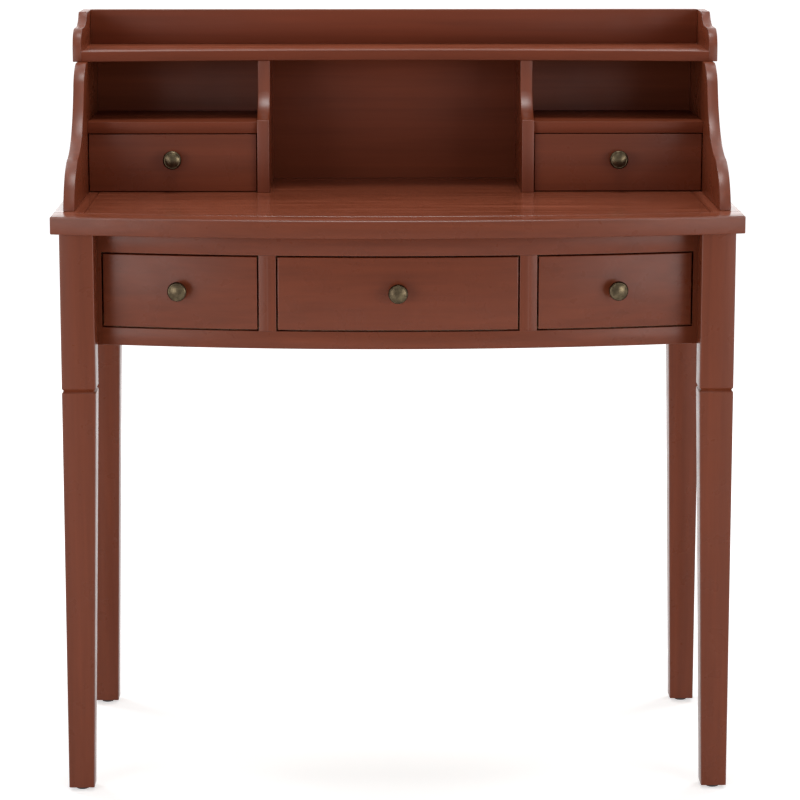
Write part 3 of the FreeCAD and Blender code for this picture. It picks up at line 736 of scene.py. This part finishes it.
shelf_low, shelf_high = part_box("hutch_top_shelf")
shelf_radius = bow_radius(shelf_high.x, top_shelf_hollow)
shelf_arc = (shelf_radius, shelf_low.y + top_shelf_hollow - shelf_radius)
top_shelf = flat_back_board("top_shelf_board", top_shelf_wood, shelf_arc, shelf_low, shelf_high, side=1)
polish_and_paint_light_on_top(top_shelf)
pick(top_shelf, "EDGE", lambda centre, way: abs(way.z) < flat_way and on_arc(centre, shelf_arc))
bevel_picked(top_shelf_arris, top_shelf_arris_steps)
bpy.ops.object.mode_set(mode="OBJECT")
dress(top_shelf, "desk", "hutch_top_shelf")


# Gallery. Two ends, sawn to a round nose and a cove, also cap the top shelf. A plain board at the back joins
# them and keeps things on the shelf.
gallery_nose = ((0.0, 0.269), (0.078, 0.581), (0.267, 0.711))
gallery_cove = ((0.571, 0.719), (0.819, 0.794), (1.0, 1.0))
gallery_run = 0.105


def gallery_end(name, node):
    """An end: up the front, round the nose, along the shoulder, up the cove, then straight round the back."""
    low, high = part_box(node)
    rise = high.z - low.z
    piece = start_outline(name, wood_deep, low.x, low.y, low.z)
    pen = draw_line((low.y, low.z), low.y, low.z + gallery_nose[0][1] * rise)
    pen = follow(pen, (gallery_nose,), (low.y, low.z), gallery_run, rise)
    pen = draw_line(pen, low.y + gallery_cove[0][0] * gallery_run, low.z + gallery_cove[0][1] * rise)
    pen = follow(pen, (gallery_cove,), (low.y, low.z), gallery_run, rise)
    pen = draw_line(pen, high.y, high.z)
    pen = draw_line(pen, high.y, low.z)
    draw_line(pen, low.y, low.z)
    close_outline(piece, high.x - low.x)
    ease(piece, side_arris, side_arris_steps)
    dress(piece, "desk", node)


gallery_end("gallery_end_left", "left_gallery_side")
gallery_end("gallery_end_right", "right_gallery_side")
plain_board("gallery_back_board", dull_wood, "gallery_back")


# Lower drawer fronts. Three bent boards that follow the face frame's bow and stand flush with it. Their
# front arrises are rounded, which catches the light all round.
drawer_front_thickness = 0.016
drawer_arris = 0.001
drawer_arris_steps = 3


def bent_drawer_front(name, node, body):
    """A bent board, rounded along the four edges of its front."""
    low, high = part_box(node)
    piece = bent_board(name, wood_across, frame_arc, drawer_front_thickness, low, high)

    def at_front_edge(centre, way):
        at_rim = min(centre.z - low.z, high.z - centre.z, centre.x - low.x, high.x - centre.x) < touch
        return at_rim and on_arc(centre, frame_arc)

    pick(piece, "EDGE", at_front_edge)
    bevel_picked(drawer_arris, drawer_arris_steps)
    bpy.ops.object.mode_set(mode="OBJECT")
    dress(piece, body, node)


for place in ("left", "centre", "right"):
    bent_drawer_front("drawer_face_" + place, place + "_drawer_front", place + "_drawer")


# Small drawer fronts. Flat boards of lacquered wood that close the two small drawers between the dividers
# and the hutch sides. Their front arrises are rounded like the lower ones'.
def flat_drawer_front(name, node, body):
    """A flat board, rounded along the four edges of its front."""
    low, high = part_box(node)
    piece = block(name, wood_across, low, high)
    bpy.ops.object.mode_set(mode="EDIT")
    pick(piece, "EDGE", lambda centre, way: centre.y < low.y + touch)
    bevel_picked(drawer_arris, drawer_arris_steps)
    bpy.ops.object.mode_set(mode="OBJECT")
    dress(piece, body, node)


for hand in ("left", "right"):
    flat_drawer_front("small_drawer_face_" + hand, hand + "_small_drawer_front", hand + "_small_drawer")


# Drawer boxes. Two grooved sides, a back and a thin bottom of bare wood, glued behind each front. They show
# only when a drawer is open, and keep the frame's own shapes.
for drawer in ("left_drawer", "centre_drawer", "right_drawer", "left_small_drawer", "right_small_drawer"):
    paint(drawer + "_sides", bare_deep)
    paint(drawer + "_back", bare_across)
    paint(drawer + "_bottom", bare_across)


# Knobs. Turned mushroom knobs of brass on a round foot, with a low dome and a fine turned ring inside the
# rim. They are chemically aged to a dull olive brown, a little paler where fingers rub them.
knob_radius = 0.013
knob_height = 0.022
knob_foot_radius = 0.0085
knob_foot_height = 0.002
knob_neck_radius = 0.0045
knob_flare_low = 0.0125
knob_flare_sag = 0.0004
knob_lip_radius = 0.0122
knob_lip_height = 0.0146
knob_rim_height = 0.0166
knob_ring_radius = 0.0113
knob_ring_height = 0.0197
knob_ring_depth = 0.0009
knob_dome_radius = 0.0101
knob_dome_low = 0.0199
knob_shank_radius = 0.0025
knob_shank_length = 0.013
knob_turns = 64
brass_tones = ("362E23", "4C4233", "665B45")
brass_tone_places = (0.25, 0.5, 0.8)
brass_roughness = (0.31, 0.23)
patina_mm = 7
patina_dull = 0.3
patina_rubbed = 0.7


def aged_brass():
    """Turned brass: its patina varies its colour and its gloss, and is smoothest where it is rubbed."""
    finish, tree, shader = new_finish("aged turned brass")
    place = add_node(tree, "ShaderNodeTexCoord").outputs["Object"]
    patina = add_node(tree, "ShaderNodeTexNoise", {
        "Vector": place, "Scale": 1000 / patina_mm, "Detail": 4, "Roughness": 0.6}).outputs["Fac"]
    colour = add_node(tree, "ShaderNodeValToRGB", {
        "Fac": patina}, brass_tone_places, brass_tones).outputs["Color"]
    dullness = add_node(tree, "ShaderNodeMapRange", {
        "Value": patina, "From Min": patina_dull, "From Max": patina_rubbed,
        "To Min": brass_roughness[0], "To Max": brass_roughness[1]}).outputs[0]
    tree.links.new(colour, shader.inputs["Base Color"])
    tree.links.new(dullness, shader.inputs["Roughness"])
    shader.inputs["Metallic"].default_value = 1
    return finish


brass = aged_brass()


def turned_knob():
    """A knob on the Z axis, its foot on the plane z = 0 and its screw below: half its outline, spun round."""
    root = math.sqrt(0.5)
    cove = knob_foot_radius - knob_neck_radius
    neck_z = knob_foot_height + cove
    dome_rise = knob_height - knob_dome_low
    dome_ball = (knob_dome_radius ** 2 + dome_rise ** 2) / (2 * dome_rise)
    half_turn = math.asin(knob_dome_radius / dome_ball) / 2
    cove_middle = (-knob_neck_radius - cove * (1 - root), neck_z - cove * root)
    flare_middle = (-(knob_lip_radius + knob_neck_radius) / 2, knob_lip_height - knob_flare_sag)
    ring_middle = (-(knob_ring_radius + knob_dome_radius) / 2, knob_ring_height - knob_ring_depth)
    dome_middle = (-dome_ball * math.sin(half_turn), knob_height - dome_ball * (1 - math.cos(half_turn)))
    piece = start_outline("knob_pattern", (brass,), 0, 0, -knob_shank_length)
    pen = draw_line((0, -knob_shank_length), -knob_shank_radius, -knob_shank_length)
    pen = draw_line(pen, -knob_shank_radius, 0)
    pen = draw_line(pen, -knob_foot_radius, 0)
    pen = draw_line(pen, -knob_foot_radius, knob_foot_height)
    pen = draw_arc(pen, cove_middle, (-knob_neck_radius, neck_z))
    pen = draw_line(pen, -knob_neck_radius, knob_flare_low)
    pen = draw_arc(pen, flare_middle, (-knob_lip_radius, knob_lip_height))
    pen = draw_arc(pen, (-knob_radius, knob_rim_height), (-knob_ring_radius, knob_ring_height))
    pen = draw_arc(pen, ring_middle, (-knob_dome_radius, knob_dome_low))
    draw_arc(pen, dome_middle, (0, knob_height))
    bpy.ops.mesh.select_all(action="SELECT")
    bpy.ops.mesh.spin(steps=knob_turns, angle=math.tau, center=(0, 0, 0), axis=(0, 0, 1))
    bpy.ops.mesh.select_all(action="SELECT")
    bpy.ops.mesh.remove_doubles(threshold=merge_reach)
    bpy.ops.mesh.normals_make_consistent(inside=False)
    bpy.ops.object.mode_set(mode="OBJECT")
    return piece


def place_knob(pattern, name, node, body, front, turn):
    """A copy of the pattern knob, its foot on the drawer front at (x, y), turned with the bow."""
    low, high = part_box(node)
    select_only(pattern)
    bpy.ops.object.duplicate(linked=False)
    piece = bpy.context.object
    piece.name = name
    middle = (low + high) / 2
    piece.rotation_euler = (math.radians(90), 0, turn)
    piece.location = (front[0], front[1], middle.z)
    bpy.ops.object.transform_apply(location=True, rotation=True, scale=True)
    dress(piece, body, node)


knob_pattern = turned_knob()
for place in ("left", "centre", "right"):
    front_low, front_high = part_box(place + "_drawer_front")
    x = (front_low.x + front_high.x) / 2
    y = frame_arc[1] - math.sqrt(frame_radius ** 2 - x ** 2)
    place_knob(knob_pattern, "knob_" + place, place + "_drawer_knob", place + "_drawer",
               (x, y), math.asin(x / frame_radius))
for hand in ("left", "right"):
    front_low, front_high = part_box(hand + "_small_drawer_front")
    x = (front_low.x + front_high.x) / 2
    place_knob(knob_pattern, "small_knob_" + hand, hand + "_small_drawer_knob", hand + "_small_drawer",
               (x, front_low.y), 0)
bpy.data.objects.remove(knob_pattern)


# Studio. A white floor and a white surround, which show white to the camera and in reflections, and seven
# soft lamps: one on each side of the camera, one above it, one overhead, two behind the desk, and a low wide
# one behind it that is mirrored in what is seen at a low angle.
floor_size = 60
floor_white = "F4F4F4"
floor_glow_near = 0.55
floor_glow_far = 1
glow_from = 0.9
glow_to = 2.6
surround_light = 0.1


def looked_at(tree):
    """1 for what is seen, directly, mirrored or through glass, and 0 for light that only falls on things."""
    seen = add_node(tree, "ShaderNodeLightPath").outputs
    straight = add_node(tree, "ShaderNodeMath", {
        0: seen["Is Camera Ray"], 1: seen["Is Glossy Ray"]}, operation="MAXIMUM").outputs[0]
    return add_node(tree, "ShaderNodeMath", {
        0: straight, 1: seen["Is Transmission Ray"]}, operation="MAXIMUM").outputs[0]


def white_floor():
    """White paint that also glows where it is looked at, least near the desk, where its shadow falls."""
    finish, tree, shader = new_finish("white studio floor")
    shader.inputs["Base Color"].default_value = linear(floor_white)
    shader.inputs["Roughness"].default_value = 1
    place = add_node(tree, "ShaderNodeTexCoord").outputs["Object"]
    distance = add_node(tree, "ShaderNodeVectorMath", {0: place}, operation="LENGTH").outputs["Value"]
    shine = add_node(tree, "ShaderNodeMapRange", {
        "Value": distance, "From Min": glow_from, "From Max": glow_to,
        "To Min": floor_glow_near, "To Max": floor_glow_far}).outputs[0]
    glow = add_node(tree, "ShaderNodeMath", {0: looked_at(tree), 1: shine}, operation="MULTIPLY").outputs[0]
    tree.links.new(glow, shader.inputs["Emission Strength"])
    shader.inputs["Emission Color"].default_value = (1, 1, 1, 1)
    return finish


bpy.ops.object.select_all(action="DESELECT")
bpy.ops.mesh.primitive_plane_add(size=floor_size)
floor = bpy.context.object
floor.name = "studio_floor"
floor.data.materials.append(white_floor())

world = bpy.data.worlds.new("white surround")
world.use_nodes = True
bpy.context.scene.world = world
tree = world.node_tree
tree.nodes.clear()
strength = add_node(tree, "ShaderNodeMapRange", {
    "Value": looked_at(tree), "To Min": surround_light, "To Max": 1}).outputs[0]
surround = add_node(tree, "ShaderNodeBackground", {"Color": (1, 1, 1, 1), "Strength": strength})
add_node(tree, "ShaderNodeOutputWorld", {"Surface": surround.outputs[0]})


def soft_lamp(name, place, target, width, height, watts):
    """A rectangular lamp that faces its target."""
    light = bpy.data.lights.new(name, "AREA")
    light.shape = "RECTANGLE"
    light.size = width
    light.size_y = height
    light.energy = watts
    lamp = bpy.data.objects.new(name, light)
    lamp.location = place
    lamp.rotation_euler = (Vector(target) - Vector(place)).to_track_quat("-Z", "Y").to_euler()
    bpy.context.scene.collection.objects.link(lamp)


desk_middle = (0, 0, 0.7)
desk_upper = (0, 0, 0.9)
soft_lamp("lamp left", (-1.93, -2.30, 0.92), desk_middle, width=1.6, height=1.4, watts=26)
soft_lamp("lamp right", (1.93, -2.30, 0.92), desk_middle, width=1.6, height=1.4, watts=27)
soft_lamp("lamp above the camera", (0, -1.93, 3.0), desk_middle, width=1.0, height=1.0, watts=7)
soft_lamp("lamp overhead", (0, -0.25, 3.7), desk_middle, width=1.2, height=1.0, watts=41)
soft_lamp("lamp behind left", (-1.62, 1.36, 2.82), desk_middle, width=1.0, height=1.0, watts=25)
soft_lamp("lamp behind right", (1.62, 1.36, 2.82), desk_middle, width=1.0, height=1.0, watts=25)
soft_lamp("lamp low behind", (0, 3.2, 1.25), desk_upper, width=3.0, height=1.0, watts=8)


# Camera. It stands back and a little left of the desk's middle, higher than the desk, and looks slightly
# down on it, as the photograph does.
camera_place = (-0.0493, -4.3250, 1.2778)
camera_pitch = 0.1782
camera_turn = 0.0126
picture_width = 800
focal_pixels = 3165.7
sensor_width = 36

lens = bpy.data.cameras.new("camera")
lens.sensor_width = sensor_width
lens.lens = focal_pixels * sensor_width / picture_width
camera = bpy.data.objects.new("camera", lens)
camera.location = camera_place
camera.rotation_euler = (math.pi / 2 - camera_pitch, 0, -camera_turn)
bpy.context.scene.collection.objects.link(camera)
bpy.context.scene.camera = camera
bpy.context.scene.view_settings.view_transform = "Standard"
